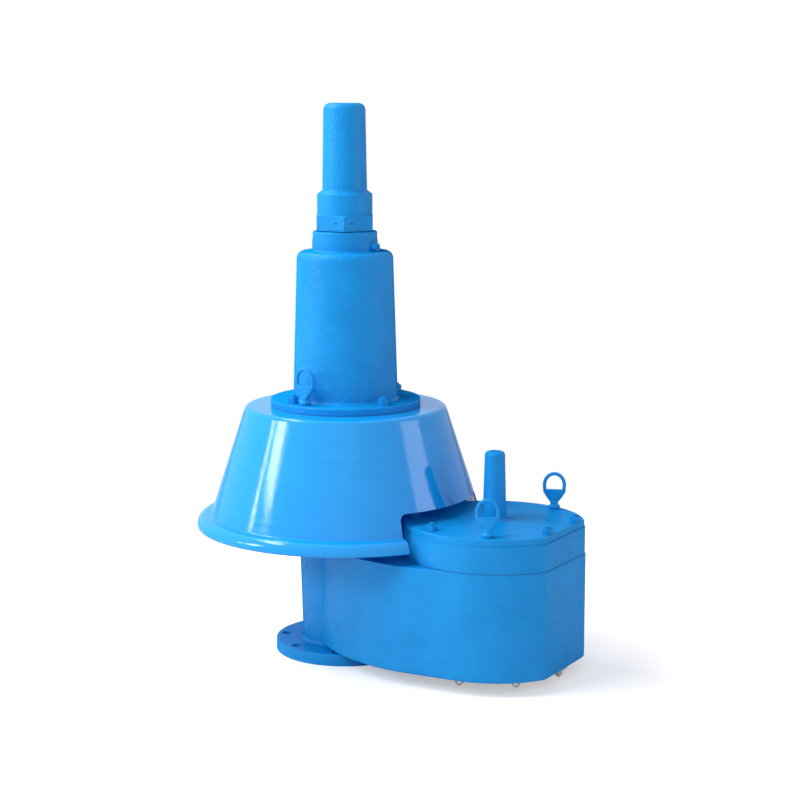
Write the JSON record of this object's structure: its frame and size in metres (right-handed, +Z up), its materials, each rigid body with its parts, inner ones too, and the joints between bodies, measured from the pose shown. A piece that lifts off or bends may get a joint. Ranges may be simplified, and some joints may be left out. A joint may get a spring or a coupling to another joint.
{
  "type": "spring safety valve",
  "caption": "Flanged pressure and vacuum relief valve with a spring-loaded disc under a spun hood and capped bonnet, and a weight-loaded vacuum disc in a side chamber.",
  "frame": {"origin": "centre of the inlet flange's underside, on the pressure valve's axis", "axes": "+Z up along the pressure valve's axis; +X along the centreline towards the vacuum chamber"},
  "size_m": [0.737, 0.558, 1.021],
  "materials": {
    "painted_casting": "satin enamel over a cast surface",
    "painted_sheet": "glossy enamel over spun steel sheet",
    "painted_fastener": "satin enamel over zinc-plated steel",
    "stainless": "turned stainless steel",
    "bronze": "machined bronze",
    "spring_steel": "oiled spring steel",
    "zinc_steel": "bright zinc-plated steel",
    "fibre_gasket": "compressed fibre sheet",
    "soft_seal": "white fluoropolymer",
    "gauze": "woven stainless wire"
  },
  "bodies": {
    "valve": {"valve_body": "painted_casting", "bonnet": "painted_casting", "cap": "painted_casting", "vacuum_cover": "painted_casting", "hood": "painted_sheet", "bonnet_nuts": "painted_fastener", "bonnet_washers": "painted_fastener", "lifting_eyes": "painted_fastener", "cover_nuts": "painted_fastener", "cover_washers": "painted_fastener", "cover_eyes": "painted_fastener", "cover_studs": "painted_fastener", "hood_pillars": "painted_fastener", "neck_set_screw": "painted_fastener", "lifting_bolts": "zinc_steel", "pressure_seat": "stainless", "vacuum_seat": "stainless", "seat_screws": "stainless", "guide_plate": "zinc_steel", "guide_screws": "zinc_steel", "spindle_bush": "bronze", "vacuum_bush": "bronze", "lock_nut": "zinc_steel", "spring": "spring_steel", "hood_gasket": "fibre_gasket", "cap_gasket": "fibre_gasket", "cover_gasket": "fibre_gasket", "flame_screen": "gauze", "screen_ring": "zinc_steel", "screen_studs": "zinc_steel", "screen_nuts": "zinc_steel", "screen_washers": "zinc_steel"},
    "pressure_valve": {"pressure_disc": "stainless", "pressure_seal": "soft_seal", "pressure_retainer": "stainless", "pressure_disc_nut": "stainless", "pressure_spindle": "stainless", "lower_spring_plate": "zinc_steel"},
    "vacuum_valve": {"vacuum_disc": "stainless", "vacuum_seal": "soft_seal", "vacuum_retainer": "stainless", "vacuum_disc_nut": "stainless", "vacuum_spindle": "stainless"},
    "spring_plate": {"upper_spring_plate": "zinc_steel"},
    "screw": {"adjusting_screw": "stainless"}
  },
  "joints": [
    {"name": "pressure_lift", "type": "slide", "parent": "valve", "child": "pressure_valve", "axis": [0, 0, 1], "range_m": [0, 0.028], "stiffness_N_per_m": 8000, "springref_m": -0.045, "deforming": ["spring"]},
    {"name": "vacuum_lift", "type": "slide", "parent": "valve", "child": "vacuum_valve", "axis": [0, 0, 1], "range_m": [0, 0.025]},
    {"name": "plate_travel", "type": "slide", "parent": "valve", "child": "spring_plate", "axis": [0, 0, 1], "range_m": [-0.008, 0.004], "deforming": ["spring"]},
    {"name": "screw_turn", "type": "hinge", "parent": "spring_plate", "child": "screw", "pos_m": [0, 0, 0.75], "axis": [0, 0, 1], "range_deg": [-720.6, 360.6]}
  ],
  "couplings": [
    {"joint": "screw_turn", "follows": "plate_travel", "rad_per_m": 1570.8}
  ]
}
